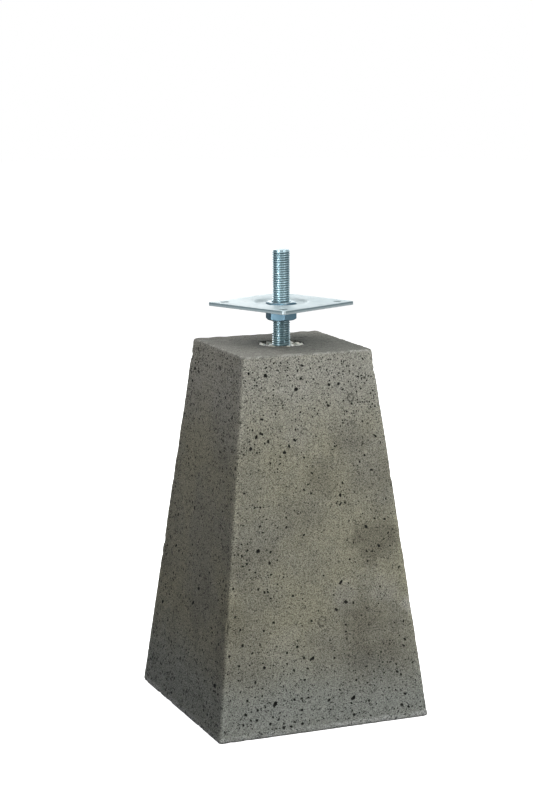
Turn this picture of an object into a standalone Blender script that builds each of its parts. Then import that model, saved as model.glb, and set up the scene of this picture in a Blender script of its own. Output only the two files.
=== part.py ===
"""Column base block: a tapered concrete block with a plastic socket cast into its top,
a threaded rod standing in the socket, and a square plate carried on a nut that climbs the rod.
Metres, +Z up. The origin is the centre of the block's underside, and -Y is its broad front."""

from math import cos, pi, radians, sin, tan

import bmesh
import bpy
import numpy as np
from mathutils import Vector

# Space left between solids that touch on the real object
TOUCH_GAP = 0.0003
ROUND_SIDES = 48

# Concrete block
BLOCK_HEIGHT = 0.400
BLOCK_BASE_WIDTH = 0.245
BLOCK_TOP_WIDTH = 0.150
ARRIS_RADIUS = 0.003
ARRIS_STEPS = 3

# Round recess in the block's top, and how far the socket's face lies under the top
RECESS_RADIUS = 0.025
RECESS_SETBACK = 0.0015

# Plastic socket: a notched flange in the recess, and a closed sleeve below it
FLANGE_THICKNESS = 0.0045
FLANGE_TONGUES = 8
TONGUE_REACH = 0.008
TONGUE_SHARE = 0.72
SLEEVE_WALL = 0.0038
SLEEVE_FLOOR = 0.004

# Threaded rod
ROD_CREST_RADIUS = 0.0098
THREAD_PITCH = 0.0025
THREAD_DEPTH = 0.0014
THREAD_FLANK_SLOPE = tan(radians(30))
LEAST_CREST = 0.00025
THREAD_FADE_TURNS = 1.5
THREAD_SIDES = 16
ROD_TIP_HEIGHT = 0.0004
ROD_TIP_INSET = 0.0003
ROD_FOOT_BEVEL = 0.0012
ROD_LENGTH = 0.200
ROD_STAND_OUT = 0.1018
RUNNING_GAP = 0.0004

# Hexagon nut, welded into the plate with its top level with the plate's
NUT_WALL = 0.0048
NUT_HEIGHT = 0.0195
NUT_FACE_INSET = 0.0004
NUT_BEVEL_SLOPE = tan(radians(30))

# Square plate, pressed into a shallow round dish in the middle
PLATE_WIDTH = 0.112
PLATE_THICKNESS = 0.004
PLATE_CORNER_RADIUS = 0.003
PLATE_CORNER_STEPS = 4
PLATE_ABOVE_BLOCK = 0.0455
PLATE_YAW = radians(24.5)
DISH_RADIUS = 0.031
DISH_DEPTH = 0.0023
DISH_SLOPE_WIDTH = 0.0045
SCREW_HOLE_RADIUS = 0.0045
SCREW_HOLE_INSET = 0.013

# Heights and radii that follow from the values above
BORE_RADIUS = ROD_CREST_RADIUS + RUNNING_GAP
SLEEVE_RADIUS = BORE_RADIUS + SLEEVE_WALL
FLANGE_TOP = BLOCK_HEIGHT - RECESS_SETBACK
FLANGE_UNDERSIDE = FLANGE_TOP - FLANGE_THICKNESS
ROD_TOP = BLOCK_HEIGHT + ROD_STAND_OUT
ROD_FOOT = ROD_TOP - ROD_LENGTH
SLEEVE_INSIDE_FOOT = ROD_FOOT - TOUCH_GAP
SLEEVE_FOOT = SLEEVE_INSIDE_FOOT - SLEEVE_FLOOR
PLATE_TOP = BLOCK_HEIGHT + PLATE_ABOVE_BLOCK
NUT_ACROSS_FLATS = 2 * (BORE_RADIUS + NUT_WALL)
NUT_ACROSS_CORNERS = NUT_ACROSS_FLATS / cos(pi / 6)

# How far a cutter stands past the face that it cuts through
CUT_PAST = 0.001


def clear_scene():
    for old in list(bpy.data.objects):
        bpy.data.objects.remove(old, do_unlink=True)


def material(name, colour, roughness, metallic):
    """A Principled material in one plain colour, red, green and blue in linear light."""
    made = bpy.data.materials.new(name)
    made.use_nodes = True
    shader = made.node_tree.nodes["Principled BSDF"]
    shader.inputs["Base Color"].default_value = (*colour, 1.0)
    shader.inputs["Roughness"].default_value = roughness
    shader.inputs["Metallic"].default_value = metallic
    made.diffuse_color = (*colour, 1.0)
    return made


def add_object(name, mesh, look=None, parent=None):
    made = bpy.data.objects.new(name, mesh)
    bpy.context.scene.collection.objects.link(made)
    made.parent = parent
    if look:
        mesh.materials.append(look)
    return made


def mesh_from(name, points, faces):
    mesh = bpy.data.meshes.new(name)
    mesh.from_pydata([tuple(point) for point in points], [], [tuple(face) for face in faces])
    mesh.validate()
    return mesh


def turned(name, profile, sides=ROUND_SIDES, start=0.0):
    """A closed body turned about Z. The profile is (radius, height) from the axis at the top,
    down the outside and back to the axis, and a point's radius may instead list one value a side."""
    angles = start + 2 * pi * np.arange(sides) / sides
    directions = np.stack([np.cos(angles), np.sin(angles)], axis=1)
    points = [(0.0, 0.0, profile[0][1])]
    for radius, height in profile[1:-1]:
        around = directions * np.broadcast_to(radius, sides)[:, None]
        points.extend((x, y, height) for x, y in around)
    points.append((0.0, 0.0, profile[-1][1]))
    last = len(points) - 1
    rings = len(profile) - 2
    faces = []
    for side in range(sides):
        after = (side + 1) % sides
        faces.append((0, 1 + side, 1 + after))
        for ring in range(rings - 1):
            above, below = 1 + ring * sides, 1 + (ring + 1) * sides
            faces.append((above + side, below + side, below + after, above + after))
        foot = 1 + (rings - 1) * sides
        faces.append((last, foot + after, foot + side))
    return mesh_from(name, points, faces)


def cutter(name, mesh, parent=None):
    """A hidden body that a Boolean takes away, or keeps the inside of."""
    made = add_object(name, mesh, parent=parent)
    made.hide_render = True
    made.display_type = "WIRE"
    return made


def boolean(target, tool, operation="DIFFERENCE"):
    step = target.modifiers.new(tool.name, "BOOLEAN")
    step.operation = operation
    step.object = tool
    step.solver = "EXACT"


def shade(mesh, angle=radians(35)):
    mesh.shade_smooth()
    mesh.set_sharp_from_angle(angle=angle)


def concrete_block():
    """The frustum with rounded arrises, and a stepped hole for the socket's flange and sleeve."""
    mesh = bpy.data.meshes.new("concrete_block")
    shape = bmesh.new()
    bmesh.ops.create_cube(shape, size=1.0)
    for corner in shape.verts:
        top = corner.co.z > 0
        width = BLOCK_TOP_WIDTH if top else BLOCK_BASE_WIDTH
        corner.co = Vector((corner.co.x * width, corner.co.y * width, BLOCK_HEIGHT if top else 0.0))
    shape.to_mesh(mesh)
    shape.free()
    look = material("concrete", (0.22, 0.215, 0.185), 0.92, 0.0)
    block = add_object("concrete_block", mesh, look)
    rounding = block.modifiers.new("rounded_arrises", "BEVEL")
    rounding.width = ARRIS_RADIUS
    rounding.segments = ARRIS_STEPS
    rounding.limit_method = "NONE"
    above = BLOCK_HEIGHT + CUT_PAST
    floor = FLANGE_UNDERSIDE - TOUCH_GAP
    sleeve_hole = SLEEVE_RADIUS + TOUCH_GAP
    hole = turned(
        "socket_hole",
        [
            (0.0, above),
            (RECESS_RADIUS, above),
            (RECESS_RADIUS, floor),
            (sleeve_hole, floor),
            (sleeve_hole, SLEEVE_FOOT - TOUCH_GAP),
            (0.0, SLEEVE_FOOT - TOUCH_GAP),
        ],
    )
    boolean(block, cutter("socket_hole", hole))
    return block


def plastic_socket():
    """A sleeve closed at its foot, under a flange that is notched into tongues."""
    sides = FLANGE_TONGUES * max(6, round(ROUND_SIDES / FLANGE_TONGUES))
    place = (np.arange(sides) / sides * FLANGE_TONGUES) % 1.0
    full = RECESS_RADIUS - TOUCH_GAP
    root = max(full - TONGUE_REACH, SLEEVE_RADIUS + TOUCH_GAP)
    rim = np.where(place < TONGUE_SHARE, full, root)
    mesh = turned(
        "socket",
        [
            (0.0, SLEEVE_INSIDE_FOOT),
            (BORE_RADIUS, SLEEVE_INSIDE_FOOT),
            (BORE_RADIUS, FLANGE_TOP),
            (rim, FLANGE_TOP),
            (rim, FLANGE_UNDERSIDE),
            (SLEEVE_RADIUS, FLANGE_UNDERSIDE),
            (SLEEVE_RADIUS, SLEEVE_FOOT),
            (0.0, SLEEVE_FOOT),
        ],
        sides,
    )
    shade(mesh)
    return add_object("socket", mesh, material("cream_plastic", (0.78, 0.76, 0.66), 0.45, 0.0))


def thread_points(start, turns):
    """Rows of points that climb one pitch a turn: root, crest and crest again in each turn, and one
    last root row. The crests fade to the root at both ends. Returns the points, how many rows of
    faces they make, and the rows in one turn."""
    root = ROD_CREST_RADIUS - THREAD_DEPTH
    crest = max(THREAD_PITCH - 2 * THREAD_DEPTH * THREAD_FLANK_SLOPE, LEAST_CREST)
    lifts = (0.0, (THREAD_PITCH - crest) / 2, (THREAD_PITCH + crest) / 2)
    rows = len(lifts) * turns
    points = []
    for row in range(rows + 1):
        turn, part = divmod(row, len(lifts))
        for side in range(THREAD_SIDES):
            climbed = side / THREAD_SIDES
            along = turn + climbed
            left = turns - 1 / THREAD_SIDES - along
            fade = min(max(min(along, left) / THREAD_FADE_TURNS, 0.0), 1.0)
            radius = root + (THREAD_DEPTH * fade if part else 0.0)
            angle = 2 * pi * climbed
            height = start + THREAD_PITCH * along + lifts[part]
            points.append((radius * cos(angle), radius * sin(angle), height))
    return points, rows, len(lifts)


def threaded_rod():
    """The rod: a helical V thread on the stretch that shows, and a plain shank in the socket."""
    thread_top = ROD_TOP - ROD_TIP_HEIGHT
    turns = max(int((thread_top - FLANGE_UNDERSIDE) / THREAD_PITCH) - 1, 3)
    start = thread_top - (turns + 1) * THREAD_PITCH
    points, rows, step = thread_points(start, turns)
    sides = THREAD_SIDES

    def at(row, side):
        return row * sides + side

    faces = []
    for row in range(rows):
        for side in range(sides - 1):
            faces.append((at(row, side), at(row, side + 1), at(row + 1, side + 1), at(row + 1, side)))
    # The last column meets the first one a pitch further up
    for row in range(rows - step):
        faces.append((at(row, sides - 1), at(row + step, 0), at(row + step + 1, 0), at(row + 1, sides - 1)))

    def add_ring(radius, height):
        first = len(points)
        for side in range(sides):
            angle = 2 * pi * side / sides
            points.append((radius * cos(angle), radius * sin(angle), height))
        return first

    def join_rings(lower, upper):
        for side in range(sides):
            after = (side + 1) % sides
            faces.append((lower + side, lower + after, upper + after, upper + side))

    root = ROD_CREST_RADIUS - THREAD_DEPTH
    shank = ROD_CREST_RADIUS - THREAD_DEPTH / 2
    below = add_ring(root, start - ROD_TIP_HEIGHT)
    for side in range(sides - 1):
        faces.append((below + side, below + side + 1, at(0, side + 1), at(0, side)))
    hub = at(0, sides - 1)
    faces.append((hub, below + sides - 1, below))
    faces.append((hub, below, at(0, 0)))
    for row in range(step):
        faces.append((hub, at(row, 0), at(row + 1, 0)))
    neck = add_ring(shank, start - THREAD_PITCH)
    low = add_ring(shank, ROD_FOOT + ROD_FOOT_BEVEL)
    foot = add_ring(shank - ROD_FOOT_BEVEL, ROD_FOOT)
    join_rings(neck, below)
    join_rings(low, neck)
    join_rings(foot, low)
    faces.append(tuple(foot + side for side in reversed(range(sides))))

    above = add_ring(root - ROD_TIP_INSET, ROD_TOP)
    for side in range(sides - 1):
        faces.append((at(rows, side), at(rows, side + 1), above + side + 1, above + side))
    hub = at(rows, 0)
    for row in range(rows - step, rows):
        faces.append((hub, at(row + 1, sides - 1), at(row, sides - 1)))
    faces.append((hub, above + sides - 1, at(rows, sides - 1)))
    faces.append((hub, above, above + sides - 1))
    faces.append(tuple(above + side for side in range(sides)))

    mesh = mesh_from("threaded_rod", points, faces)
    shade(mesh)
    return add_object("threaded_rod", mesh, material("zinc_on_rod", (0.16, 0.24, 0.27), 0.35, 1.0))


def welded_nut(head):
    """A hexagon cut by a cone at both faces, with a plain bore that clears the thread's crests."""
    top, foot = 0.0, -NUT_HEIGHT
    corner = NUT_ACROSS_CORNERS / 2
    hexagon = turned("nut", [(0.0, top), (corner, top), (corner, foot), (0.0, foot)], 6)
    nut = add_object("nut", hexagon, material("zinc_on_nut", (0.10, 0.18, 0.22), 0.35, 1.0), head)
    face = NUT_ACROSS_FLATS / 2 - NUT_FACE_INSET
    tip = face - CUT_PAST / NUT_BEVEL_SLOPE
    wide = corner + CUT_PAST
    drop = (wide - face) * NUT_BEVEL_SLOPE
    cones = [
        (0.0, top + CUT_PAST),
        (tip, top + CUT_PAST),
        (wide, top - drop),
        (wide, foot + drop),
        (tip, foot - CUT_PAST),
        (0.0, foot - CUT_PAST),
    ]
    # Half a side round, so that no edge of the cones falls on the hexagon's corners
    cone_mesh = turned("nut_cones", cones, start=pi / ROUND_SIDES)
    boolean(nut, cutter("nut_cones", cone_mesh, head), "INTERSECT")
    boolean(nut, cutter("nut_bore", through_hole("nut_bore", BORE_RADIUS, foot), head))
    return nut


def through_hole(name, radius, foot, sides=ROUND_SIDES):
    """A cutter from just above height 0 to just below foot."""
    above, below = CUT_PAST, foot - CUT_PAST
    return turned(name, [(0.0, above), (radius, above), (radius, below), (0.0, below)], sides)


def square_plate(head):
    """The plate with round corners, its pressed dish, a hexagon hole that holds the nut, and a
    screw hole near each corner. The dish shows as a bulge of the same depth underneath."""
    mesh = bpy.data.meshes.new("plate")
    shape = bmesh.new()
    bmesh.ops.create_cube(shape, size=1.0)
    for corner in shape.verts:
        height = 0.0 if corner.co.z > 0 else -PLATE_THICKNESS
        corner.co = Vector((corner.co.x * PLATE_WIDTH, corner.co.y * PLATE_WIDTH, height))
    upright = [edge for edge in shape.edges if abs(edge.verts[0].co.z - edge.verts[1].co.z) > CUT_PAST]
    bmesh.ops.bevel(
        shape,
        geom=upright,
        offset=PLATE_CORNER_RADIUS,
        segments=PLATE_CORNER_STEPS,
        affect="EDGES",
        profile=0.5,
    )
    shape.to_mesh(mesh)
    shape.free()
    plate = add_object("plate", mesh, material("zinc_on_plate", (0.62, 0.68, 0.70), 0.3, 1.0), head)
    floor_radius = DISH_RADIUS - DISH_SLOPE_WIDTH
    under = -PLATE_THICKNESS - DISH_DEPTH
    bulge = [
        (0.0, -PLATE_THICKNESS / 2),
        (DISH_RADIUS, -PLATE_THICKNESS / 2),
        (DISH_RADIUS, -PLATE_THICKNESS),
        (floor_radius, under),
        (0.0, under),
    ]
    boolean(plate, cutter("dish_bulge", turned("dish_bulge", bulge), head), "UNION")
    rim = DISH_RADIUS + CUT_PAST * DISH_SLOPE_WIDTH / DISH_DEPTH
    dish = [(0.0, CUT_PAST), (rim, CUT_PAST), (floor_radius, -DISH_DEPTH), (0.0, -DISH_DEPTH)]
    boolean(plate, cutter("dish_hollow", turned("dish_hollow", dish), head))
    nut_corner = (NUT_ACROSS_FLATS / 2 + TOUCH_GAP) / cos(pi / 6)
    boolean(plate, cutter("nut_seat", through_hole("nut_seat", nut_corner, under, 6), head))
    reach = PLATE_WIDTH / 2 - SCREW_HOLE_INSET
    for count, (across, along) in enumerate(((1, 1), (-1, 1), (-1, -1), (1, -1)), 1):
        name = f"screw_hole_{count}"
        hole = cutter(name, through_hole(name, SCREW_HOLE_RADIUS, -PLATE_THICKNESS), head)
        hole.location = (across * reach, along * reach, 0.0)
        boolean(plate, hole)
    return plate


def main():
    clear_scene()
    concrete_block()
    plastic_socket()
    threaded_rod()
    head = add_object("plate_axis", None)
    head.location = (0.0, 0.0, PLATE_TOP)
    head.rotation_euler = (0.0, 0.0, PLATE_YAW)
    welded_nut(head)
    square_plate(head)


main()
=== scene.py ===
from math import cos, pi, radians, sin, tan

import bmesh
import bpy
import numpy as np
from mathutils import Matrix, Vector


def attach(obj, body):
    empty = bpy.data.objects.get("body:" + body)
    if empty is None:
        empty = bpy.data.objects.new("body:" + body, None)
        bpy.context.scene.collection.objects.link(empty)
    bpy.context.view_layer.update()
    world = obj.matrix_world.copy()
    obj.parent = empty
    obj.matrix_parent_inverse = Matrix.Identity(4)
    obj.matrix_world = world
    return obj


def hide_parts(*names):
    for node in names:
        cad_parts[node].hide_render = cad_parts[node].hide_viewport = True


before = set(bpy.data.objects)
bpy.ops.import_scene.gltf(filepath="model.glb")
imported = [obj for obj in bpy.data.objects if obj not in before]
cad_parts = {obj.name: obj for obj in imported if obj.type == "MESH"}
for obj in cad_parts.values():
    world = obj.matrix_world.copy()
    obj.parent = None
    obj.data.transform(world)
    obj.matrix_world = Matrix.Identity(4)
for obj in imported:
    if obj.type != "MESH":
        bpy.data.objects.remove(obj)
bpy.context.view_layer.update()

# The block: one casting of grey concrete, a square pyramid cut off at the top, with a round recess and a
# hole down its middle for the plastic socket. Its faces came from a smooth mould and hold air pores.
# Its arrises are a little rounded and worn, and its top was trowelled.

BLOCK_HEIGHT = 0.400
FOOT_HALF_WIDTH = 0.1225
TOP_HALF_WIDTH = 0.075
ARRIS = 0.003
TOP_ARRIS = 0.002
ARRIS_WEAR = 0.0007
ARRIS_BAND = 0.010
CHIP_DEPTH = 0.0022
EDGE_WEAR = 0.0006
SOLE_WEAR = 0.0016
TOP_SAG = 0.00035
TOP_RIPPLE = 0.00012
FACE_WAVE = 0.00035
LIP_HEIGHT = 0.0055
LIP_STEP = 0.0005
RECESS_RADIUS = 0.025
RECESS_LIP = 0.0005
RECESS_FLOOR = 0.3937
SLEEVE_HOLE_RADIUS = 0.0143
SLEEVE_HOLE_FOOT = 0.2972
CELLS_ACROSS_FACE = 56
CELLS_ROUND_ARRIS = 6
ROWS_UP_FACE = 118
ROWS_ACROSS_TOP = 12
PORES_ON_THE_FRONT = 640
PORES_ON_A_SIDE = 720
LARGE_PORES_ON_THE_FRONT = 55
LARGE_PORES_ON_A_SIDE = 80
LARGE_PORE_RADIUS = 0.0010
LARGE_PORE_SPREAD = 0.0004
SMALL_PORE_RADIUS = 0.00045
SMALL_PORE_SPREAD = 0.00042
SMALL_PORE_SPREAD_ON_THE_FRONT = 0.00032
PORE_SHARE_OF_A_CELL = 0.76
PORE_OVAL = 0.42
PORE_RAGGEDNESS = 0.24
PORE_SEED = 41

# The front's place among the sides as the grid's columns run round: back, left, front and right
FRONT_SIDE = 2

# Rows of cells beside the foot's and the top's arrises that keep clear of pores
ROWS_BELOW_PORES = 5
ROWS_ABOVE_PORES = 8

# The front face's largest pores, taken from the photograph: millimetres across from the middle,
# height, diameter. All the other pores are placed at random.
FRONT_PORES = (
    (-68, 197, 4.5),
    (-12, 78, 4.5),
    (-59, 36, 5),
    (28, 133, 4),
    (56, 213, 3.5),
    (-65, 318, 3.5),
    (-51, 310, 3),
    (-92, 28, 3.2),
    (-69, 75, 3),
    (-29, 93, 3),
    (96, 27, 3),
    (35, 10, 3),
)


def uneven(points, size, seed, waves=9):
    """A smooth random value between about -1 and 1 at each point: the sum of sine waves of nearly
    one length that cross space in random directions, over the root of half their number."""
    chance = np.random.default_rng(seed)
    across = chance.normal(size=(waves, 3))
    across /= np.linalg.norm(across, axis=1, keepdims=True)
    lengths = size * chance.uniform(0.7, 1.5, waves)
    starts = chance.uniform(0, 2 * pi, waves)
    turns = points @ (across / lengths[:, None] * 2 * pi).T + starts
    return np.sin(turns).sum(axis=-1) / (waves / 2) ** 0.5 / 1.6


def add_piece(name, points, face_sets, smooth_angle=35.0):
    """A mesh object from points and a list of index tables, one table for each number of corners."""
    points = np.asarray(points, dtype=np.float32).reshape(-1, 3)
    corners = np.concatenate([faces.ravel() for faces in face_sets]).astype(np.int32)
    counts = np.concatenate([np.full(len(faces), faces.shape[1]) for faces in face_sets])
    starts = np.concatenate([[0], np.cumsum(counts)[:-1]]).astype(np.int32)
    mesh = bpy.data.meshes.new(name)
    mesh.vertices.add(len(points))
    mesh.vertices.foreach_set("co", points.ravel())
    mesh.loops.add(len(corners))
    mesh.loops.foreach_set("vertex_index", corners)
    mesh.polygons.add(len(starts))
    mesh.polygons.foreach_set("loop_start", starts)
    mesh.update(calc_edges=True)
    mesh.validate()
    mesh.shade_smooth()
    mesh.set_sharp_from_angle(angle=radians(smooth_angle))
    piece = bpy.data.objects.new(name, mesh)
    bpy.context.scene.collection.objects.link(piece)
    return piece


def point_values(piece, name, values):
    """Stores one number for each point of the mesh, for the material to read."""
    layer = piece.data.attributes.new(name, "FLOAT", "POINT")
    layer.data.foreach_set("value", np.asarray(values, dtype=np.float32))


def ring_faces(rows, columns, first=0, closed=False):
    """The four-cornered faces of a tube of points, row after row, whose columns run round it."""
    row = np.arange(rows if closed else rows - 1)[:, None]
    column = np.arange(columns)[None, :]
    after, above = (column + 1) % columns, (row + 1) % rows
    table = [row * columns + column, row * columns + after, above * columns + after, above * columns + column]
    return first + np.stack(np.broadcast_arrays(*table), axis=-1).reshape(-1, 4)


def rounded_square(half_width, radius, across, round_corner):
    """Points counter-clockwise round a square with round corners, one row for each half width: each
    quarter is an arc about its corner's centre and then the straight to the next arc."""
    reach = (half_width - radius)[:, None]
    turn = np.linspace(0, pi / 2, round_corner + 1)[None, :]
    share = (np.arange(1, across) / across)[None, :]
    arc = np.stack([reach + radius[:, None] * np.cos(turn), reach + radius[:, None] * np.sin(turn)], -1)
    beside = np.broadcast_to(half_width[:, None], (len(reach), across - 1))
    flat = np.stack([reach * (1 - 2 * share), beside], -1)
    quarter = np.concatenate([arc, flat], axis=1)
    quarters = []
    for count in range(4):
        c, s = round(cos(count * pi / 2)), round(sin(count * pi / 2))
        quarters.append(quarter @ np.array([[c, s], [-s, c]]))
    return np.concatenate(quarters, axis=1)


def block_grid():
    """Rows from the underside up the sides, over the top and down into the recess. Every row is a
    rounded square, or on the top a mix of the square and the recess's circle."""
    slope = (FOOT_HALF_WIDTH - TOP_HALF_WIDTH) / BLOCK_HEIGHT
    lean = np.arctan(slope)
    low = np.linspace(-pi / 2, lean, 5)
    high = np.linspace(lean, pi / 2, 6)
    low_centre = FOOT_HALF_WIDTH - slope * ARRIS - ARRIS / cos(lean)
    high_centre = FOOT_HALF_WIDTH - slope * (BLOCK_HEIGHT - TOP_ARRIS) - TOP_ARRIS / cos(lean)
    share = np.linspace(0, 1, ROWS_UP_FACE + 1)
    share = share + 0.21 * share * (1 - share)
    side_low, side_high = ARRIS + ARRIS * sin(lean), BLOCK_HEIGHT - TOP_ARRIS + TOP_ARRIS * sin(lean)
    side = side_low + share * (side_high - side_low)
    crown = BLOCK_HEIGHT - TOP_ARRIS + TOP_ARRIS * np.sin(high)
    heights = np.concatenate([ARRIS + ARRIS * np.sin(low), side[1:-1], crown])
    middle = FOOT_HALF_WIDTH - slope * side[1:-1]
    low_turn = low_centre + ARRIS * np.cos(low)
    high_turn = high_centre + TOP_ARRIS * np.cos(high)
    widths = np.concatenate([low_turn, middle, high_turn])
    outer = rounded_square(widths, np.full(len(widths), ARRIS), CELLS_ACROSS_FACE, CELLS_ROUND_ARRIS)
    columns = outer.shape[1]
    outer = np.concatenate([outer, np.broadcast_to(heights[:, None, None], (len(heights), columns, 1))], -1)
    rim = outer[-1]
    angle = np.arctan2(rim[:, 1], rim[:, 0])
    circle = np.stack([np.cos(angle), np.sin(angle)], -1)
    mix = (np.arange(1, ROWS_ACROSS_TOP) / ROWS_ACROSS_TOP)[:, None, None]
    lip = RECESS_RADIUS + RECESS_LIP
    flat = (1 - mix) * rim[None, :, :2] + mix * lip * circle[None]
    top = np.concatenate([flat, np.full(flat.shape[:2] + (1,), BLOCK_HEIGHT)], -1)
    well = [
        (lip, BLOCK_HEIGHT),
        (RECESS_RADIUS + 0.3 * RECESS_LIP, BLOCK_HEIGHT - 0.3 * RECESS_LIP),
        (RECESS_RADIUS, BLOCK_HEIGHT - RECESS_LIP),
        (RECESS_RADIUS, 0.5 * (BLOCK_HEIGHT + RECESS_FLOOR)),
        (RECESS_RADIUS, RECESS_FLOOR),
        (0.5 * (RECESS_RADIUS + SLEEVE_HOLE_RADIUS), RECESS_FLOOR),
        (SLEEVE_HOLE_RADIUS, RECESS_FLOOR),
        (SLEEVE_HOLE_RADIUS, SLEEVE_HOLE_FOOT),
    ]
    inner = np.array([np.column_stack([r * circle, np.full(columns, z)]) for r, z in well])
    return np.concatenate([outer, top, inner]), len(heights)


def worn(grid, outer_rows):
    """Moves the outside inwards only: a slow wave over the faces, a finer one along the arrises, small
    chips where a third wave runs high, and a slight sag and ripple over the trowelled top."""
    place = grid[:outer_rows]
    flat = np.abs(place[..., :2])
    reach = flat.max(axis=-1, keepdims=True)
    arris = np.clip(1 - (reach[..., 0] - flat.min(axis=-1)) / ARRIS_BAND, 0, 1) ** 2
    wave = 0.5 + 0.5 * uneven(place, 0.14, 3)
    rough = 0.5 * np.clip(uneven(place, 0.031, 5), 0, 1) + 0.5 * np.clip(uneven(place, 0.008, 6), 0, 1)
    chip = np.clip(uneven(place, 0.011, 8) * uneven(place, 0.047, 9) - 0.42, 0, 0.4) / 0.4
    lip = np.clip((place[..., 2] - LIP_HEIGHT) / 0.002, 0, 1) * LIP_STEP
    depth = lip + FACE_WAVE * wave + arris * (ARRIS_WEAR * rough + CHIP_DEPTH * chip)
    inward = -place[..., :2] / reach
    out = grid.copy()
    out[:outer_rows, :, :2] += inward * depth[..., None]
    edge = np.clip(1 - np.abs(place[..., 2] - BLOCK_HEIGHT) / 0.004, 0, 1)
    out[:outer_rows, :, 2] -= edge * EDGE_WEAR * np.clip(0.5 + 0.5 * uneven(place, 0.012, 12), 0, None)
    sole = np.clip(1 - place[..., 2] / 0.006, 0, 1) * np.clip(uneven(place, 0.010, 16) - 0.3, 0, 1)
    out[:outer_rows, :, 2] += sole * SOLE_WEAR
    top = out[outer_rows : outer_rows + ROWS_ACROSS_TOP - 1]
    sag = TOP_SAG * (0.5 + 0.5 * uneven(top, 0.05, 14)) + TOP_RIPPLE * (1 + uneven(top, 0.012, 15))
    top[..., 2] -= np.clip(sag, 0, None)
    return out


def nearest_cell(grid, outer_rows, face, across, height):
    """The row and column where a block of two by two cells has its middle nearest to a place."""
    quarter = grid.shape[1] // 4
    left = face * quarter + CELLS_ROUND_ARRIS
    heights = grid[ROWS_BELOW_PORES : outer_rows - ROWS_ABOVE_PORES, left, 2]
    row = ROWS_BELOW_PORES - 1 + int(np.abs(heights - height).argmin())
    half = FOOT_HALF_WIDTH + (TOP_HALF_WIDTH - FOOT_HALF_WIDTH) * height / BLOCK_HEIGHT - ARRIS
    column = left + int(round((across / half + 1) / 2 * CELLS_ACROSS_FACE)) - 1
    return row, min(max(column, left), left + CELLS_ACROSS_FACE - 2)


def pore_cells(grid, outer_rows, chance):
    """Which cells of the faces give way to a pore, as (row, column, cells across, radius). The large
    ones take two by two cells and the small ones one. There are more at the foot and by the top."""
    rows, columns = outer_rows, grid.shape[1]
    quarter = columns // 4
    taken = np.zeros((rows, columns), bool)
    chosen = []

    def take(r, c, wide, radius):
        if taken[r : r + wide, c : c + wide].any():
            return False
        taken[r : r + wide, c : c + wide] = True
        chosen.append((r, c, wide, radius))
        return True

    for across, height, diameter in FRONT_PORES:
        r, c = nearest_cell(grid, outer_rows, FRONT_SIDE, across / 1000, height / 1000)
        take(r, c, 2, diameter / 2000)
    for face in range(4):
        left = face * quarter + CELLS_ROUND_ARRIS
        for wide in (2, 1):
            row = np.arange(ROWS_BELOW_PORES, rows - ROWS_ABOVE_PORES)
            column = np.arange(left, left + CELLS_ACROSS_FACE - wide)
            row, column = [table.ravel() for table in np.meshgrid(row, column, indexing="ij")]
            height = grid[row, column, 2] / BLOCK_HEIGHT
            beside = np.abs((column - left) / CELLS_ACROSS_FACE - 0.5) * 2
            weight = 0.40 + 2.6 * np.exp(-height / 0.11) + 1.2 * np.exp(-(1 - height) / 0.10)
            weight += 0.8 * beside**4
            weight *= np.clip(1 + 0.9 * uneven(grid[row, column], 0.035, 21 + face), 0.15, None)
            if face == FRONT_SIDE:
                amount = LARGE_PORES_ON_THE_FRONT if wide == 2 else PORES_ON_THE_FRONT
            else:
                amount = LARGE_PORES_ON_A_SIDE if wide == 2 else PORES_ON_A_SIDE
            tries = min(amount * 3, len(row))
            picked = chance.choice(len(row), size=tries, replace=False, p=weight / weight.sum())
            size = LARGE_PORE_RADIUS + chance.exponential(LARGE_PORE_SPREAD, len(picked))
            if wide == 1:
                spread = SMALL_PORE_SPREAD_ON_THE_FRONT if face == FRONT_SIDE else SMALL_PORE_SPREAD
                size = SMALL_PORE_RADIUS + chance.exponential(spread, len(picked))
            found = 0
            for r, c, radius in zip(row[picked], column[picked], size):
                found += take(r, c, wide, radius)
                if found == amount:
                    break
    return np.array(chosen), taken


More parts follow.
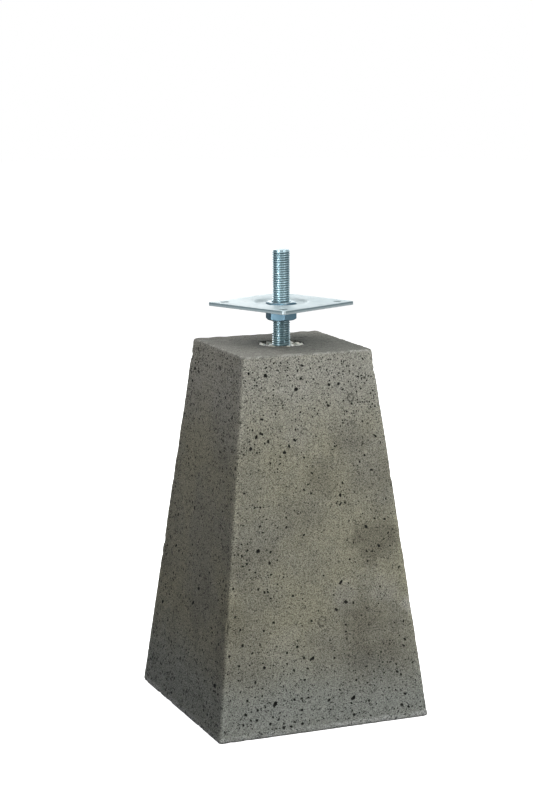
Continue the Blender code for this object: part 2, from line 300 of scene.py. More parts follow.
def pores(grid, cells, wide, chance, first):
    """Points and faces of the pores in cells of one size. From the cell's edge a flat collar runs to an
    uneven oval ring, and from there smaller and deeper rings lead to the pore's bottom."""
    columns = grid.shape[1]
    row, column = cells[:, 0].astype(int), cells[:, 1].astype(int)
    if wide == 1:
        steps = [(0, 0), (0, 1), (1, 1), (1, 0)]
    else:
        steps = [(0, 0), (0, 1), (0, 2), (1, 2), (2, 2), (2, 1), (2, 0), (1, 0)]
    edge_index = np.stack([(row + up) * columns + (column + on) % columns for up, on in steps], -1)
    edge = grid.reshape(-1, 3)[edge_index]
    centre = edge.mean(axis=1)
    along = edge[:, len(steps) // 4] - edge[:, 0]
    up = edge[:, -len(steps) // 4] - edge[:, 0]
    room = 0.5 * np.minimum(np.linalg.norm(along, axis=1), np.linalg.norm(up, axis=1))
    along /= np.linalg.norm(along, axis=1, keepdims=True)
    outward = np.cross(along, up)
    outward /= np.linalg.norm(outward, axis=1, keepdims=True)
    rise = np.cross(outward, along)
    radius = np.minimum(cells[:, 3], PORE_SHARE_OF_A_CELL * room)
    oval = chance.uniform(0.0, PORE_OVAL, (len(cells), 1))
    spare = room - radius * (1.12 + oval[:, 0])
    shift = chance.uniform(-0.8, 0.8, (2, len(cells), 1)) * np.clip(spare, 0, None)[:, None]
    centre = centre + shift[0] * along + shift[1] * rise
    middle = 0.5 * (edge + np.roll(edge, -1, axis=1))
    spokes = np.stack([edge, middle], axis=2).reshape(len(cells), -1, 3) - centre[:, None]
    spokes -= (spokes * outward[:, None]).sum(-1, keepdims=True) * outward[:, None]
    spokes /= np.linalg.norm(spokes, axis=-1, keepdims=True)
    count = spokes.shape[1]
    bearing = np.arctan2((spokes * rise[:, None]).sum(-1), (spokes * along[:, None]).sum(-1))
    ragged = 1 + PORE_RAGGEDNESS * chance.uniform(-1, 1, (len(cells), count))
    ragged += oval * np.cos(2 * (bearing - chance.uniform(0, pi, (len(cells), 1))))
    deep = radius * chance.uniform(0.8, 1.4, len(cells))
    levels = [(1.0, 0.03), (0.86, 0.55), (0.5, 0.95)] if wide == 2 else [(1.0, 0.03), (0.72, 0.8)]
    rings = []
    for out, down in levels:
        reach = (ragged * (radius * out)[:, None])[..., None]
        depth = (deep * down)[:, None, None]
        rings.append(centre[:, None] + spokes * reach - outward[:, None] * depth)
    bottom = centre - outward * deep[:, None]
    points = np.concatenate([np.stack(rings, 1).reshape(len(cells), -1, 3), bottom[:, None]], axis=1)
    hollow = np.concatenate([np.repeat([0.8, 1.0, 1.0][: len(levels)], count), [1.0]])
    stride = points.shape[1]
    start = first + stride * np.arange(len(cells))[:, None]
    ring = [start + level * count + np.arange(count)[None] for level in range(len(levels))]
    corner, after = edge_index, np.roll(edge_index, -1, axis=1)
    even, odd, beyond = ring[0][:, 0::2], ring[0][:, 1::2], np.roll(ring[0][:, 0::2], -1, axis=1)
    last = ring[-1]
    tip = np.broadcast_to(start + stride - 1, last.shape)
    threes = [(corner, after, odd), (corner, odd, even), (after, beyond, odd)]
    threes.append((last, np.roll(last, -1, axis=1), tip))
    fours = []
    for outer, inner in zip(ring[:-1], ring[1:]):
        fours.append((outer, np.roll(outer, -1, axis=1), np.roll(inner, -1, axis=1), inner))
    threes = np.concatenate([np.stack(corners, -1).reshape(-1, 3) for corners in threes])
    fours = np.concatenate([np.stack(corners, -1).reshape(-1, 4) for corners in fours])
    return points.reshape(-1, 3), threes, fours, np.tile(hollow, len(cells))


def concrete_block():
    """The worn grid with its pores set in, closed by one face underneath and one at the hole's foot."""
    chance = np.random.default_rng(PORE_SEED)
    grid, outer_rows = block_grid()
    grid = worn(grid, outer_rows)
    rows, columns = grid.shape[:2]
    cells, taken = pore_cells(grid, outer_rows, chance)
    whole = np.ones((rows - 1, columns), bool)
    whole[: taken.shape[0]] = ~taken[: rows - 1]
    points, threes = [grid.reshape(-1, 3)], []
    fours = [ring_faces(rows, columns)[whole.ravel()]]
    hollow = [np.zeros(rows * columns)]
    first = rows * columns
    for wide in (1, 2):
        made, sharp, quads, depth = pores(grid, cells[cells[:, 2] == wide], wide, chance, first)
        points.append(made)
        threes.append(sharp)
        fours.append(quads)
        hollow.append(depth)
        first += len(made)
    points, hollow = np.concatenate(points), np.concatenate(hollow)
    used = np.zeros(len(points), bool)
    caps = np.stack([np.arange(columns)[::-1], (rows - 1) * columns + np.arange(columns)])
    face_sets = [np.concatenate(threes), np.concatenate(fours), caps]
    for faces in face_sets:
        used[faces.ravel()] = True
    renumber = np.cumsum(used) - 1
    block = add_piece("concrete_casting", points[used], [renumber[faces] for faces in face_sets], 40.0)
    point_values(block, "hollow", hollow[used])
    return block


class Wire:
    """A value in a material. Sums, products and powers of wires become Math nodes."""

    def __init__(self, finish, socket):
        self.finish = finish
        self.socket = socket

    def maths(self, operation, first, second=0.0, third=0.0):
        return self.finish.node("ShaderNodeMath", {"operation": operation}, {0: first, 1: second, 2: third})

    def __add__(self, other):
        return self.maths("ADD", self, other)

    def __radd__(self, other):
        return self.maths("ADD", other, self)

    def __sub__(self, other):
        return self.maths("SUBTRACT", self, other)

    def __rsub__(self, other):
        return self.maths("SUBTRACT", other, self)

    def __mul__(self, other):
        return self.maths("MULTIPLY", self, other)

    def __rmul__(self, other):
        return self.maths("MULTIPLY", other, self)

    def __pow__(self, other):
        return self.maths("POWER", self, other)

    def __rpow__(self, other):
        return self.maths("POWER", other, self)

    def output(self, name):
        """Another output of the node that this wire comes from."""
        return Wire(self.finish, self.socket.node.outputs[name])


class Finish:
    """A material with one Principled shader. Values given to its nodes are numbers, colours or wires."""

    def __init__(self, name, **fixed):
        self.material = bpy.data.materials.new(name)
        self.material.use_nodes = True
        self.tree = self.material.node_tree
        self.shader = self.tree.nodes["Principled BSDF"]
        self.set(**fixed)
        self.place = self.node("ShaderNodeTexCoord").output("Object")

    def node(self, kind, settings=None, values=None):
        made = self.tree.nodes.new(kind)
        for name, value in (settings or {}).items():
            setattr(made, name, value)
        for name, value in (values or {}).items():
            self.join(made.inputs[name], value)
        return Wire(self, made.outputs[0])

    def join(self, socket, value):
        if isinstance(value, Wire):
            self.tree.links.new(value.socket, socket)
        else:
            socket.default_value = value

    def set(self, **values):
        for name, value in values.items():
            self.join(self.shader.inputs[name.replace("_", " ")], value)

    def noise(self, scale, detail=4.0, rough=0.55, place=None):
        """Cloudy noise between 0 and 1, with so many grains to a metre."""
        values = {"Vector": place or self.place, "Scale": scale, "Detail": detail, "Roughness": rough}
        return self.node("ShaderNodeTexNoise", values=values)

    def stretched(self, x, y, z):
        """The place with each axis scaled, for streaks."""
        return self.node("ShaderNodeMapping", values={"Vector": self.place, "Scale": (x, y, z)})

    def along(self, axis):
        """One coordinate of the place, in metres."""
        return self.node("ShaderNodeSeparateXYZ", values={0: self.place}).output(axis)

    def point_value(self, name):
        """The number of that name stored on the mesh's points, spread evenly between them."""
        return self.node("ShaderNodeAttribute", {"attribute_name": name}).output("Fac")

    def unsigned(self, value):
        """The value without its sign."""
        return self.node("ShaderNodeMath", {"operation": "ABSOLUTE"}, {0: value})

    def larger(self, first, second):
        """The larger of two values."""
        return self.node("ShaderNodeMath", {"operation": "MAXIMUM"}, {0: first, 1: second})

    def ramp(self, value, start, end):
        """0 below start and 1 above end, with a smooth rise between. Start may be above end."""
        settings = {"interpolation_type": "SMOOTHSTEP"}
        names = {"Value": value, "From Min": start, "From Max": end}
        if start > end:
            names.update({"From Min": end, "From Max": start, "To Min": 1.0, "To Max": 0.0})
        return self.node("ShaderNodeMapRange", settings, names)

    def blend(self, share, first, second, how="MIX"):
        """The first colour or value turned into the second by share."""
        settings = {"data_type": "RGBA", "blend_type": how, "clamp_factor": True}
        mixed = self.node("ShaderNodeMix", settings, {0: share, 6: first, 7: second})
        return Wire(self, mixed.socket.node.outputs[2])

    def relief(self, height, distance, strength=1.0):
        """A Bump node on the shader's normal: height 1 stands so many metres above height 0."""
        values = {"Height": height, "Distance": distance, "Strength": strength}
        self.set(Normal=self.node("ShaderNodeBump", values=values))


HOLE_SWAY = 1.5


def pinholes(finish, scale, most, rare, shift, crowd, bend):
    """1 in small holes and 0 outside: Voronoi cells whose centres lie nearer than a random radius, which
    grows with crowd and is small in most cells, the more so the higher rare is. A noise bends them."""
    values = {0: bend, 1: (HOLE_SWAY / scale,) * 3, 2: finish.place}
    bent = finish.node("ShaderNodeVectorMath", {"operation": "MULTIPLY_ADD"}, values)
    place = finish.node("ShaderNodeMapping", values={"Vector": bent, "Location": (shift, 0.3, 0.7)})
    values = {"Vector": place, "Scale": scale, "Randomness": 1.0}
    cell = finish.node("ShaderNodeTexVoronoi", {"feature": "F1"}, values)
    spread = finish.node("ShaderNodeSeparateColor", values={0: cell.output("Color")})
    return finish.ramp(spread**rare * crowd * most - cell, -0.03, 0.03)


# Soft dark and pale patches on the front face: metres across from the middle and up, radius, strength
DARK_SMUDGES = (
    (0.039, 0.306, 0.032, 0.53),
    (0.008, 0.266, 0.027, 0.45),
    (0.068, 0.197, 0.032, 0.58),
    (0.051, 0.113, 0.042, 0.58),
    (0.066, 0.068, 0.046, 0.58),
    (0.031, 0.072, 0.027, 0.38),
    (0.088, 0.270, 0.030, 0.33),
    (-0.098, 0.125, 0.032, 0.38),
    (-0.019, 0.226, 0.030, 0.22),
)
PALE_SMUDGES = (
    (-0.011, 0.375, 0.032, 0.32),
    (-0.050, 0.384, 0.022, 0.28),
    (0.029, 0.378, 0.030, 0.28),
    (0.103, 0.123, 0.013, 0.55),
    (0.070, 0.140, 0.030, 0.26),
    (0.031, 0.142, 0.020, 0.26),
    (-0.058, 0.017, 0.036, 0.36),
    (-0.015, 0.310, 0.030, 0.20),
    (-0.048, 0.092, 0.028, 0.16),
)


def smudge(finish, middle, radius, wander):
    """1 at a place, falling to 0 at a radius from it, with an edge that wanders with a noise."""
    far = finish.node("ShaderNodeVectorMath", {"operation": "DISTANCE"}, {0: finish.place, 1: middle})
    return finish.ramp(far.output("Value") + (wander - 0.5) * radius * 3.2, radius, radius * 0.25)


# Small pits in the trowelled top, painted as dark spots of shade with no hollow in the mesh: metres across
# and deep, and the radius
TOP_PITS = (
    (0.0300, 0.0330, 0.0030),
    (0.0370, 0.0310, 0.0024),
    (0.0440, 0.0340, 0.0028),
    (0.0510, 0.0220, 0.0018),
    (-0.0310, 0.0410, 0.0020),
    (-0.0560, -0.0120, 0.0016),
    (0.0150, -0.0520, 0.0014),
)

# Thin broken rings of painted shade, for the shallow rings left by flattened air bubbles on the front face:
# metres across and up, then the half width and half height of the ring
RING_MARKS = (
    (-0.0386, 0.3510, 0.0062, 0.0034),
    (0.0460, 0.3500, 0.0036, 0.0040),
    (0.0010, 0.1160, 0.0044, 0.0046),
    (0.0470, 0.2170, 0.0024, 0.0022),
    (-0.0087, 0.3180, 0.0038, 0.0024),
    (0.0480, 0.3220, 0.0026, 0.0036),
    (-0.0347, 0.3740, 0.0010, 0.0052),
    (-0.0200, 0.1340, 0.0032, 0.0020),
)
RING_DEPTH = 0.006


def ring_mark(finish, across, height, wide, tall, wander):
    """1 on a thin oval line on the front face, broken where the noise is low, and 0 elsewhere."""
    slope = (FOOT_HALF_WIDTH - TOP_HALF_WIDTH) / BLOCK_HEIGHT
    centre = (-across / wide, (FOOT_HALF_WIDTH - slope * height) / RING_DEPTH, -height / tall)
    values = {"Vector": finish.place, "Location": centre, "Scale": (1 / wide, 1 / RING_DEPTH, 1 / tall)}
    place = finish.node("ShaderNodeMapping", values=values)
    far = finish.node("ShaderNodeVectorMath", {"operation": "LENGTH"}, {0: place}).output("Value")
    off = finish.unsigned(far - 1.0 + (wander - 0.5) * 0.8)
    return finish.ramp(off, 0.30, 0.10) * finish.ramp(wander, 0.42, 0.50)


# The colours of the concrete, red, green and blue in linear light
OLIVE_PASTE = (0.222, 0.215, 0.160, 1)
GREY_PASTE = (0.190, 0.187, 0.153, 1)
SMOKY_PASTE = (0.130, 0.124, 0.096, 1)
DARK_STAIN = (0.098, 0.092, 0.070, 1)
PALE_BLOOM = (0.308, 0.304, 0.272, 1)
BLUISH_FOOT = (0.190, 0.203, 0.189, 1)
PALE_CROWN = (0.292, 0.291, 0.258, 1)
PALE_SKIN = (0.290, 0.298, 0.284, 1)
TROWELLED_TOP = (0.192, 0.192, 0.170, 1)
# Painted highlight along the top's outer edge
PAINTED_ARRIS_HIGHLIGHT = (0.330, 0.330, 0.300, 1)
PORE_SHADE = (0.012, 0.013, 0.011, 1)


def cast_concrete():
    """Warm grey concrete: clouds of olive and smoky grey, bluer at the foot, streaks from the mould,
    sand grain, painted shade in the pores, pinholes, ring marks and pits, a painted highlight along
    the top's edge, and a paler skin along the foot's edge."""
    finish = Finish("cast_concrete", Roughness=0.9)
    finish.set(Specular_IOR_Level=0.25)
    up = finish.along("Z")
    slope = (FOOT_HALF_WIDTH - TOP_HALF_WIDTH) / BLOCK_HEIGHT
    to_front = up * slope - finish.along("Y")
    aside = finish.ramp(to_front, FOOT_HALF_WIDTH - 0.001, FOOT_HALF_WIDTH - 0.003)
    across = finish.unsigned(finish.along("X"))
    deep = finish.unsigned(finish.along("Y"))
    corner = finish.unsigned(across - deep)
    clouds = finish.noise(9.0, 6.0, 0.6)
    smoke = finish.noise(19.0, 6.0, 0.68)
    streaks = finish.noise(1.0, 4.0, 0.6, finish.stretched(330.0, 330.0, 16.0))
    blotch = finish.noise(95.0, 4.0, 0.65)
    grain = finish.ramp(finish.noise(820.0, 2.0, 0.7), 0.34, 0.64)
    colour = finish.blend(finish.ramp(clouds, 0.38, 0.64), OLIVE_PASTE, GREY_PASTE)
    colour = finish.blend(finish.ramp(smoke, 0.48, 0.70) * 0.52, colour, SMOKY_PASTE)
    for smudges, tint in ((DARK_SMUDGES, DARK_STAIN), (PALE_SMUDGES, PALE_BLOOM)):
        for right, height, radius, strength in smudges:
            mark = smudge(finish, (right, height * slope - FOOT_HALF_WIDTH, height), radius, smoke)
            colour = finish.blend(mark * strength, colour, tint)
    foot = finish.ramp(up + (clouds - 0.5) * 0.14, 0.105, 0.02)
    colour = finish.blend(foot * 0.8, colour, BLUISH_FOOT)
    # Paler towards the top of the sides
    crown = finish.ramp(up + (clouds - 0.5) * 0.10, 0.26, 0.395)
    colour = finish.blend(crown * 0.62, colour, PALE_CROWN)
    skin = finish.ramp(up + (blotch - 0.5) * 0.006, 0.0078, 0.0056)
    skin = skin * (0.30 + 0.60 * finish.ramp(smoke, 0.42, 0.60))
    colour = finish.blend(skin, colour, PALE_SKIN)
    trowelled = finish.ramp(up, 0.3970, 0.3992)
    colour = finish.blend(trowelled * 0.85, colour, TROWELLED_TOP)
    # Painted highlight: a pale band, broken by noise, on the top face along its outer edge, where the rounded
    # arris catches the light
    edge = finish.ramp(up, 0.3972, 0.3980) * finish.ramp(finish.noise(140.0, 3.0, 0.7), 0.42, 0.56)
    wider = finish.ramp(across - deep, -0.002, 0.002)
    deeper = finish.ramp(deep - across, -0.002, 0.002)
    rim = wider * across + deeper * deep
    edge = edge * finish.ramp(rim, TOP_HALF_WIDTH - 0.004, TOP_HALF_WIDTH - 0.0015)
    colour = finish.blend(edge * 0.70, colour, PAINTED_ARRIS_HIGHLIGHT)
    arris = finish.ramp(corner, 0.009, 0.002) * (1.0 - trowelled)
    rubbed = finish.ramp(finish.noise(1.0, 4.0, 0.7, finish.stretched(90.0, 260.0, 40.0)), 0.38, 0.62)
    coarse = grain * (0.86 + arris * 0.24 - trowelled * 0.36) + (rubbed - 0.5) * trowelled * 0.26
    tone = 0.275 + streaks * (0.26 + foot * 0.16) + blotch * 0.26 + coarse + trowelled * 0.10
    tone = finish.node("ShaderNodeCombineColor", values={0: tone, 1: tone, 2: tone})
    colour = finish.blend(1.0, colour, tone, "MULTIPLY")
    crowd = 0.65 + foot * 0.26 + crown * 0.18 + finish.ramp(blotch, 0.4, 0.7) * 0.35
    crowd = crowd * (1.0 - trowelled * 0.6)
    bend = finish.noise(650.0, 2.0, 0.6).output("Color")
    holes = pinholes(finish, 270.0, 0.36, 5.0, 1.3, crowd + aside * 0.40, bend)
    specks = pinholes(finish, 640.0, 0.64, 4.0, 5.1, crowd + aside * 0.34, bend)
    # Painted shade: the pores, by their depth, and the pinholes, ring marks and pits are darkened towards
    # PORE_SHADE, for the shade inside them
    hollow = finish.ramp(finish.point_value("hollow"), 0.66, 0.82)
    dark = finish.larger(holes * 0.85, specks * 0.80)
    dark = finish.larger(dark, hollow * 0.95)
    for right, height, wide, tall in RING_MARKS:
        ring = ring_mark(finish, right, height, wide, tall, blotch)
        dark = finish.larger(dark, ring * 0.62)
    for right, back, radius in TOP_PITS:
        pit = smudge(finish, (right, back, BLOCK_HEIGHT), radius, blotch)
        dark = finish.larger(dark, pit * 0.75)
    colour = finish.blend(dark, colour, PORE_SHADE)
    finish.set(Base_Color=colour)
    finish.set(Roughness=0.94 - grain * 0.10)
    finish.relief(grain * 0.6 + blotch * 0.6 - holes * 1.2 - specks * 0.8, 0.0006, 0.75)
    return finish.material


block = concrete_block()
block.data.materials.append(cast_concrete())
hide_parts("concrete_block")
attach(block, "base")

# The socket: a moulded sleeve of cream plastic, cast into the block, with a broad flange at its mouth.
# The flange is split into eight tongues of unlike length, and its edges are broken. Its gaps, its dip and
# its underside are darkened, partly by mortar and partly as painted shade.

FLANGE_TOP = 0.3985
FLANGE_UNDERSIDE = 0.3940
SLEEVE_RADIUS = 0.0140
SLEEVE_FOOT = 0.2975
SOCKET_BORE = 0.0102
SOCKET_FLOOR = 0.3015
RIM_INSIDE = 0.0205
RIM_OUTSIDE = 0.0243
RIM_RISE = 0.0004
RIM_BREAK = 0.0009
RIM_EASE = 0.0004
LEAST_RIM = 0.0012
GAP_OUTSIDE = 0.0185
GAP_DROP = 0.0012
GAP_END = 1.6
DIP_DEPTH = 0.0018
DIP_BREAK = 0.0006
SOCKET_COLUMNS = 240

# The gaps between the tongues: degrees round from +X, and half the width. Mortar fills the widest, and all
# of them are painted dark, as mortar and as shade
GAPS = (
    (247.0, 30.0),
    (301.0, 6.0),
    (326.0, 4.0),
    (357.0, 5.0),
    (27.0, 4.0),
    (56.0, 6.0),
    (84.0, 4.0),
    (121.0, 7.0),
)


def around_axis(rows, angle):
    """Carries a profile round the Z axis: each row of it is a radius and a height, one number or one for
    each angle, and becomes a row of points at those angles."""
    return np.array([np.column_stack([r * np.cos(angle), r * np.sin(angle), z + 0 * angle]) for r, z in rows])


def plastic_socket():
    """A closed profile carried round the axis. Its raised rim drops and draws in at each gap, by a smooth
    step in the angle from the gap's middle, and a finer uneven wave breaks the tongues' edges."""
    turn = 2 * pi * np.arange(SOCKET_COLUMNS) / SOCKET_COLUMNS
    ring = np.stack([np.cos(turn), np.sin(turn), 0 * turn], -1)
    share = 1 + 0 * turn
    for middle, half in GAPS:
        away = np.abs((np.degrees(turn) - middle + 180) % 360 - 180)
        share *= 0.5 + 0.5 * np.tanh((away - half) / GAP_END)
    broken = uneven(ring * 0.0225, 0.0075, 33)
    outside = GAP_OUTSIDE + (RIM_OUTSIDE - GAP_OUTSIDE) * share - 0.0007 * np.clip(broken, 0, 1)
    inside = np.minimum(RIM_INSIDE + 0.0010 * broken, outside - LEAST_RIM)
    rim = FLANGE_TOP + share * (RIM_RISE + RIM_BREAK * broken) - GAP_DROP * (1 - share)
    rim = np.minimum(rim, BLOCK_HEIGHT - 0.0002)
    dip = FLANGE_TOP - DIP_DEPTH + DIP_BREAK * uneven(ring * 0.0170, 0.0060, 35)
    # The third number of each row is how strongly mortar and painted shade darken that ring of the socket
    profile = [
        (SOCKET_BORE, SOCKET_FLOOR, 0.0),
        (SOCKET_BORE, FLANGE_TOP - 0.0010, 0.0),
        (SOCKET_BORE + 0.0008, FLANGE_TOP - 0.0001, 1 - share),
        (SLEEVE_RADIUS - 0.0008, FLANGE_TOP - 0.0002, 1 - share),
        (SLEEVE_RADIUS + 0.0008, dip, 1 - 0.3 * share),
        (0.5 * (SLEEVE_RADIUS + inside), dip, 1 - 0.5 * share),
        (inside - 0.0006, dip, 1 - 0.6 * share),
        (inside, rim - 0.0003, 1 - share),
        (0.5 * (inside + outside), rim, 1 - share),
        (outside - RIM_EASE, rim - 0.0002, 1 - share),
        (outside, rim - 0.0008, 1 - 0.8 * share),
        (outside, FLANGE_UNDERSIDE + RIM_EASE, 0.8),
        (outside - RIM_EASE, FLANGE_UNDERSIDE, 0.5),
        (SLEEVE_RADIUS, FLANGE_UNDERSIDE, 0.3),
        (SLEEVE_RADIUS, SLEEVE_FOOT, 0.3),
    ]
    points = around_axis([(r, z) for r, z, mortar_and_shade in profile], turn)
    column = np.arange(SOCKET_COLUMNS)
    caps = np.stack([column, (len(profile) - 1) * SOCKET_COLUMNS + column[::-1]])
    faces = ring_faces(len(profile), SOCKET_COLUMNS)[:, ::-1]
    socket = add_piece("cast_in_socket", points, [faces, caps], 50.0)
    point_values(socket, "mortar_and_shade", np.concatenate([mortar_and_shade + 0 * turn for r, z, mortar_and_shade in profile]))
    return socket


# The plastic's colours; the third is both dried mortar and painted shade in the socket's hollows
CREAM = (1.0, 0.985, 0.90, 1)
YELLOWED = (0.70, 0.53, 0.30, 1)
MORTAR_AND_PAINTED_SHADE = (0.130, 0.122, 0.096, 1)


def cream_plastic():
    """Cream polyethylene, yellowed in places, darkened in the dip inside its rim, in the gaps and underneath,
    partly by dried cement and partly as painted shade.
    """
    finish = Finish("cream_plastic", Roughness=0.45)
    mortar_and_shade = finish.point_value("mortar_and_shade")
    mortar_and_shade_smear = finish.ramp(finish.noise(300.0, 4.0, 0.65) + mortar_and_shade * 0.36, 0.70, 0.80)
    stain = finish.ramp(finish.noise(110.0, 3.0, 0.6), 0.50, 0.72)
    colour = finish.blend(stain * 0.55, CREAM, YELLOWED)
    colour = finish.blend(mortar_and_shade_smear * 0.88, colour, MORTAR_AND_PAINTED_SHADE)
    finish.set(Base_Color=colour, Roughness=0.40 + mortar_and_shade_smear * 0.45)
    finish.relief(finish.noise(700.0, 3.0, 0.6) + mortar_and_shade_smear * 1.2, 0.0004, 0.7)
    return finish.material


socket = plastic_socket()
socket.data.materials.append(cream_plastic())
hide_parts("socket")
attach(socket, "base")

# The rod: a length of steel rod with a rolled thread from end to end, bright zinc with a blue tint.
# Its lower half stands in the socket. Both ends are cut square and a little bevelled.

ROD_TOP = 0.5018
ROD_FOOT = 0.3018
CREST_RADIUS = 0.0098
ROOT_RADIUS = 0.0083
PITCH = 0.0025
ROD_COLUMNS = 48
ROD_BEVEL = 0.0012
ROD_TINT = (0.72, 0.86, 0.90, 1)
ROD_DULL = (0.62, 0.78, 0.83, 1)
ROD_ROUGHNESS = 0.28

# The rounded section of the thread, as the share of a pitch and the share of the way out to the crest
THREAD_STEPS = (
    (0.00, 0.00),
    (0.10, 0.06),
    (0.21, 0.36),
    (0.32, 0.72),
    (0.42, 0.96),
    (0.50, 1.00),
    (0.58, 0.96),
    (0.68, 0.72),
    (0.79, 0.36),
    (0.90, 0.06),
)


def threaded_rod():
    """One ribbon of thread wound up the rod. Each row is a step of the thread's section and climbs one
    pitch in a turn. Past either end the points close in on the axis in the plane of that end."""
    steps = np.array(THREAD_STEPS)
    count = len(steps)
    turns = int(round((ROD_TOP - ROD_FOOT) / PITCH)) + 3
    row = np.arange(turns * count)
    column = np.arange(ROD_COLUMNS)
    phase = row // count + steps[row % count, 0]
    height = ROD_FOOT - 2 * PITCH + PITCH * (phase[:, None] + column[None] / ROD_COLUMNS)
    out = np.broadcast_to(steps[row % count, 1][:, None], height.shape)
    radius = ROOT_RADIUS + (CREST_RADIUS - ROOT_RADIUS) * out
    inside = np.minimum(height - ROD_FOOT, ROD_TOP - height)
    radius = np.minimum(radius, CREST_RADIUS - ROD_BEVEL + np.clip(inside, 0, None))
    closing = (CREST_RADIUS - ROD_BEVEL) * np.clip(1 + inside / (0.9 * PITCH), 0, 1)
    radius = np.where(inside < 0, closing, radius)
    height = np.clip(height, ROD_FOOT, ROD_TOP)
    turn = 2 * pi * column / ROD_COLUMNS
    points = np.stack([radius * np.cos(turn), radius * np.sin(turn), height], -1)
    rows = len(row)
    here, above = np.arange(rows - 1)[:, None], np.arange(1, rows)[:, None]
    side = np.arange(ROD_COLUMNS - 1)[None]
    body = [here * ROD_COLUMNS + side, here * ROD_COLUMNS + side + 1, above * ROD_COLUMNS + side + 1]
    body = np.stack(np.broadcast_arrays(*body, above * ROD_COLUMNS + side), -1).reshape(-1, 4)
    start = np.arange(rows - count - 1)
    last = ROD_COLUMNS - 1
    seam = [start * ROD_COLUMNS + last, (start + count) * ROD_COLUMNS]
    seam += [(start + count + 1) * ROD_COLUMNS, (start + 1) * ROD_COLUMNS + last]
    rod = add_piece("zinc_rod", points, [np.concatenate([body, np.stack(seam, -1)])], 25.0)
    # Painted shade: the thread's roots are marked to be darkened with GROOVE_SHADE
    groove = np.clip((CREST_RADIUS - radius) / (CREST_RADIUS - ROOT_RADIUS), 0, 1) * (inside > ROD_BEVEL)
    point_values(rod, "groove", groove.ravel())
    return rod


def merged(piece, distance, smooth_angle):
    """Joins points that lie on each other, drops what that leaves without area, and turns the faces out."""
    shape = bmesh.new()
    shape.from_mesh(piece.data)
    bmesh.ops.remove_doubles(shape, verts=shape.verts, dist=distance)
    bmesh.ops.dissolve_degenerate(shape, edges=shape.edges, dist=distance)
    bmesh.ops.recalc_face_normals(shape, faces=shape.faces)
    shape.to_mesh(piece.data)
    shape.free()
    piece.data.shade_smooth()
    piece.data.set_sharp_from_angle(angle=radians(smooth_angle))


ZINC_STAIN = (0.42, 0.46, 0.42, 1)
GROOVE_SHADE = (0.16, 0.225, 0.245, 1)
PAINTED_HIGHLIGHT_ZINC = (0.74, 0.81, 0.83, 1)


def bright_zinc(name, tint, dull, rough, cloud=60.0, brush=(900.0, 900.0, 60.0), lined=0.06, metal=1.0):
    """Blue passivated zinc: a metal whose tint drifts in clouds, rubbed duller in fine lines, with painted
    shade where the groove value is high and a painted highlight where the pale value says so."""
    finish = Finish(name, Metallic=metal, Roughness=rough)
    drift = finish.noise(cloud, 3.0, 0.55)
    lines = finish.noise(1.0, 3.0, 0.6, finish.stretched(*brush))
    stain = finish.ramp(finish.noise(cloud * 2.7, 4.0, 0.6), 0.56, 0.76)
    colour = finish.blend(finish.ramp(drift, 0.3, 0.7), tint, dull)
    colour = finish.blend(stain * 0.18, colour, ZINC_STAIN)
    # Painted shade from the groove value, painted highlight from the pale value
    groove = finish.point_value("groove")
    colour = finish.blend(finish.ramp(groove, 0.30, 1.0) * 0.85, colour, GROOVE_SHADE)
    colour = finish.blend(finish.point_value("pale"), colour, PAINTED_HIGHLIGHT_ZINC)
    finish.set(Base_Color=colour)
    finish.set(Roughness=rough - 0.05 + drift * 0.08 + lines * lined + stain * 0.06 + groove * 0.15)
    finish.relief(lines, 0.00002, 0.4)
    return finish.material


rod = threaded_rod()
merged(rod, 0.000004, 55.0)
rod.data.materials.append(
    bright_zinc("zinc_on_rod", ROD_TINT, ROD_DULL, ROD_ROUGHNESS, 22.0, (60.0, 60.0, 60.0), lined=0.02)
)
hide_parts("threaded_rod")
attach(rod, "base")

# The nut: a tall hexagon nut in blue zinc, welded into the plate from below, so that it carries the
# plate and screws up and down the rod with it. Its corners are bevelled by a cone at both faces.
# Its sides are painted dark as shade under the plate, and its top face pale as a painted highlight.

PLATE_TOP = 0.4455
PLATE_TURN = radians(24.5)
NUT_ACROSS_FLATS = 0.030
NUT_HEIGHT = 0.0195
NUT_BORE = 0.0102
NUT_BORE_BEVEL = 0.0008
NUT_BORE_BEVEL_DEPTH = 0.0010
NUT_BEVEL_START = 0.0146
NUT_CORNER_RADIUS = 0.01691
NUT_EASE = 0.00015
NUT_EASE_DEPTH = 0.00025
NUT_COLUMNS = 144
# Painted shade: the nut's sides are far darker than the same zinc on the rod and plate, for the shade under
# the plate
NUT_SHADED_TINT = (0.21, 0.32, 0.39, 1)
NUT_SHADED_DULL = (0.14, 0.23, 0.29, 1)
NUT_ROUGHNESS = 0.30


def hexagon_radius(angle, across_flats):
    """The distance from the axis to a hexagon's side in each direction: half the distance across the
    flats over the cosine of the angle to the nearest side's middle. Angle 0 points at a corner."""
    from_corner = (angle + pi / 6) % (pi / 3) - pi / 6
    return across_flats / 2 / np.cos(pi / 6 - np.abs(from_corner))


